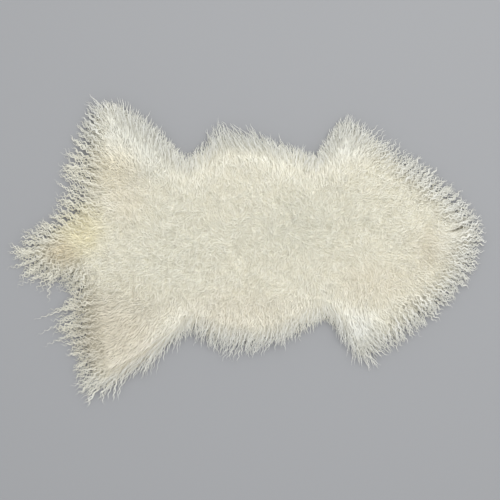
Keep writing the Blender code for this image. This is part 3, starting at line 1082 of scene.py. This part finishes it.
def growRim(look, seed):
    random = np.random.default_rng(seed)
    starts = [rimStarts(look, random) for _ in range(look["layers"])]
    layer = np.concatenate([np.full(len(s), n / (look["layers"] - 1)) for n, s in enumerate(starts)])
    at = np.concatenate(starts)
    # first what a whole lock shares, then what each of its strands has
    locks = len(at)
    lockInward = (layer + random.uniform(*look["layerSpread"], locks)) * look["band"]
    lockSwing = random.normal(0, look["stray"], locks)
    lockShare = random.uniform(*look["share"], locks)
    lockPhase = random.uniform(0, 2 * math.pi, locks)
    lockBend = random.normal(0, 1, locks)
    lockRest = random.uniform(*look["rest"], locks)
    lockDroop = random.uniform(*look["droop"], locks)
    strands = np.maximum(1, np.round(mixed(look["strandsInLock"], edgeFine[at]))).astype(int)
    stray = random.uniform(0, 1, locks) < look["strays"]
    strands[stray] = 1
    lockShare[stray] = random.uniform(*look["strayShare"], stray.sum())
    owner = np.repeat(np.arange(locks), strands)
    count = len(owner)
    at, layer = at[owner], layer[owner]
    comb, reach, curl, fine = edgeComb[at], edgeReach[at], edgeCurl[at], edgeFine[at]
    way = wayOf(comb)
    across = np.column_stack([-way[:, 1], way[:, 0]])
    beside = random.uniform(-1, 1, count) * mixed(look["lockWidth"], fine)
    inward = lockInward[owner] + random.uniform(-1, 1, count) * look["rootSpread"]
    roots = edgePlace[at] - way * inward[:, None]
    roots += across * beside[:, None] - edgeOut[at] * look["within"]
    # which way each strand lies
    way = alongPartings(roots, way)
    heading = comb + np.mod(np.arctan2(way[:, 1], way[:, 0]) - comb + math.pi, 2 * math.pi) - math.pi
    clumps = [noiseAt(roots, size, 6.6) for size in look["clump"]]
    heading += mixed(look["clumpSwing"], fine) * mixed(clumps, fine) + lockSwing[owner]
    heading -= beside / look["drawn"]
    bend = mixed(look["bend"], fine) * lockBend[owner]
    bend += look["sweep"] * fine * noiseAt(roots, look["clump"][1], 9.4)
    # how long, wavy and thick it is
    swing = mixed(look["swing"], fine) * mixed(look["swingCurl"], curl)
    swing *= random.uniform(*look["swingSpread"], count)
    tuft = noiseAt(roots, look["tuft"], 4.4)
    share = lockShare[owner] + random.uniform(*look["shareSpread"], count)
    share *= 1 + look["uneven"] * fine * tuft
    length = np.maximum(inward * look["covers"] + reach * share, look["shortest"])
    length = stretched(length, swing)
    wavelength = mixed(look["wavelength"], fine) * random.uniform(*look["waveSpread"], count)
    waves = length / wavelength
    thick = mixed(look["thick"], fine) * random.uniform(*look["thickSpread"], count)
    thick[stray[owner]] *= look["strayThick"]
    phase = lockPhase[owner] + random.uniform(-1, 1, count) * look["phaseSpread"]
    # how high its root and its tip lie
    start = undercoatHeight(roots, nearEdge(roots)[1]) + look["above"]
    start += look["lifted"] * layer * mixed(look["liftedShare"], fine)
    start += look["tuftRise"] * tuft * mixed(look["tuftLayer"], layer)
    rest = lockRest[owner] + random.uniform(0, 1, count) * look["restSpread"]
    rest += look["tuftRest"] * np.clip(tuft, 0, 1) * fine
    marks = rimMarks(look, random, fine)
    kinds = np.array(look["sections"])
    wanted = np.searchsorted(kinds, waves * look["sectionsPerWave"] + 2)
    sections = kinds[np.clip(wanted, 0, len(kinds) - 1)]
    plan = np.column_stack([roots, heading, bend, swing, waves, phase, length])
    crimpHeight, crimpFrom = look["crimp"]
    groups = []
    for kind in kinds:
        own = sections == kind
        t, x, y, beat = wander(plan[own], kind)
        # level as far as the edge of the wool, then it droops to the floor
        past = t * length[own, None] * look["covers"] - inward[own, None] + look["droopFrom"]
        drop = smooth(0, 1, np.clip(past, 0, None) / lockDroop[owner][own, None])
        z = start[own, None] * (1 - drop) + rest[own, None] * drop + look["arch"] * np.sin(math.pi * t)
        tall = (swing * wavelength)[own, None] / (2 * math.pi) * crimpHeight
        z += tall * smooth(0, crimpFrom, t) * beat
        radii = thick[own, None] * np.interp(t, *look["taper"])
        paths = np.stack([x, y, np.maximum(z, radii + strandLook["offFloor"])], axis=2)
        clear = clearOfSlits(x, y)
        own[np.flatnonzero(own)[~clear]] = False
        groups.append((roots[own], paths[clear], radii[clear], pick(marks, own)))
    return groups


hemLook = {
    "spacing": 2.3 * mm,  # along the edge
    "inward": (8 * mm, 17 * mm),  # of the roots
    "past": ((-1 * mm, 4 * mm), (5 * mm, 15 * mm)),  # * reach past the edge
    "across": 0.7,  # how far they point straight out, not along the comb
    "stray": 0.38,
    "swing": (0.2, 0.6),
    "wavelength": (11 * mm, 17 * mm),
    "thick": (0.8 * mm, 1.35 * mm),
    "taper": ((0, 0.3, 0.75, 1), (0.8, 1.0, 0.7, 0.0)),
    "above": (1.5 * mm, 0.6 * mm),  # over the undercoat, at the root and past it
    "sunk": (3 * mm, 0.3),  # depth of the root, over this share of the length
    "fallFrom": 0.35,  # share of the way to the edge
    "fall": (9 * mm, 16 * mm),
    "rest": (0.6 * mm, 5 * mm),
    "sections": 6,
    "flat": 0.7,
    "soft": 0.3,
    "tone": 1.5,
    "deep": (0.4, 0.1),  # * painted shade of the roots
    "white": (0, 0.5),  # *
    "whiteFine": (0.1, 0.5),
}


def growHem(look, seed):
    # short wool that falls over the rim all round, also where the long locks lie along it
    random = np.random.default_rng(seed)
    count = int(edgeStep * len(edge) / look["spacing"])
    at = ((np.arange(count) + random.uniform(0, 1, count)) * len(edge) / count).astype(int)
    fine = edgeFine[at]
    way = edgeOut[at] * look["across"] + wayOf(edgeComb[at]) * (1 - look["across"])
    heading = np.arctan2(way[:, 1], way[:, 0]) + random.normal(0, look["stray"], count)
    inward = random.uniform(*look["inward"], count)
    roots = edgePlace[at] - edgeOut[at] * inward[:, None]
    reach = mixed([random.uniform(*pair, count) for pair in look["past"]], fine)
    swing = random.uniform(*look["swing"], count)
    length = stretched(inward + reach, swing)
    waves = length / random.uniform(*look["wavelength"], count)
    phase = random.uniform(0, 2 * math.pi, count)
    plan = np.column_stack([roots, heading, np.zeros(count), swing, waves, phase, length])
    t, x, y, _ = wander(plan, look["sections"])
    ground = groundUnder(x, y)
    past = np.clip(t * length[:, None] - look["fallFrom"] * inward[:, None], 0, None)
    drop = smooth(0, 1, past / random.uniform(*look["fall"], count)[:, None])
    rest = random.uniform(*look["rest"], count)[:, None]
    aboveRoot, above = look["above"]
    z = (ground[:, :1] + aboveRoot) * (1 - drop) + rest * drop
    z = np.maximum(z, np.where(ground > undercoatLook["foot"], ground + above, 0))
    sunk, sunkOver = look["sunk"]
    z -= sunk * (1 - smooth(0, sunkOver, t))
    thick = random.uniform(*look["thick"], count)
    radii = thick[:, None] * np.interp(t, *look["taper"])
    paths = np.stack([x, y, np.maximum(z, radii + strandLook["offFloor"])], axis=2)
    return [(roots, paths, radii, rimMarks(look, random, fine))]


rimRegions = (
    # name, from x, to x in metres
    ("tailRim", -1, -0.27),
    ("hindRim", -0.27, 0.05),
    ("foreRim", 0.05, 0.3),
    ("neckRim", 0.3, 1),
)
shareOut(growRim(rimLook, 23) + growHem(hemLook, 37), rimRegions, curlMaterial)

studio = {
    "floor": {
        "Base Color": (0.30, 0.304, 0.312, 1),
        "Roughness": 0.9,
        "Specular IOR Level": 0.1,
    },
    "floorSize": 40,
    "photoWidth": 1.0,  # metres across the picture
    "cameraHeight": 2.4,
    "middle": (3 * mm, 1 * mm),
    "sensor": 36.0,  # mm
    "key": 45.0,
    "keySize": 2.6,
    "keyPlace": (0.5, 0.75, 2.3),
    "air": (0.97, 0.98, 1.0, 1),
    "fill": 0.86,
}


def makeStudio(look):
    scene = bpy.context.scene
    bpy.ops.mesh.primitive_plane_add(size=look["floorSize"], location=(0, 0, 0))
    floor = bpy.context.active_object
    floor.name = "floor"
    floor.data.materials.append(Shader("paleFloor", look["floor"]).material)
    key = bpy.data.lights.new("softKey", "AREA")
    key.shape, key.size, key.energy = "SQUARE", look["keySize"], look["key"]
    lamp = linked("softKey", key)
    lamp.location = look["keyPlace"]
    lamp.rotation_euler = (Vector((0, 0, 0)) - lamp.location).to_track_quat("-Z", "Y").to_euler()
    world = bpy.data.worlds.new("studioAir")
    world.use_nodes = True
    back = world.node_tree.nodes["Background"]
    back.inputs["Color"].default_value = look["air"]
    back.inputs["Strength"].default_value = look["fill"]
    scene.world = world
    lens = bpy.data.cameras.new("overhead")
    lens.sensor_width = look["sensor"]
    lens.lens = look["sensor"] * look["cameraHeight"] / look["photoWidth"]
    camera = linked("overhead", lens)
    camera.location = (*look["middle"], look["cameraHeight"])
    scene.camera = camera
    scene.view_settings.view_transform = "Standard"


makeStudio(studio)
print("studio: floor, one lamp and the camera")
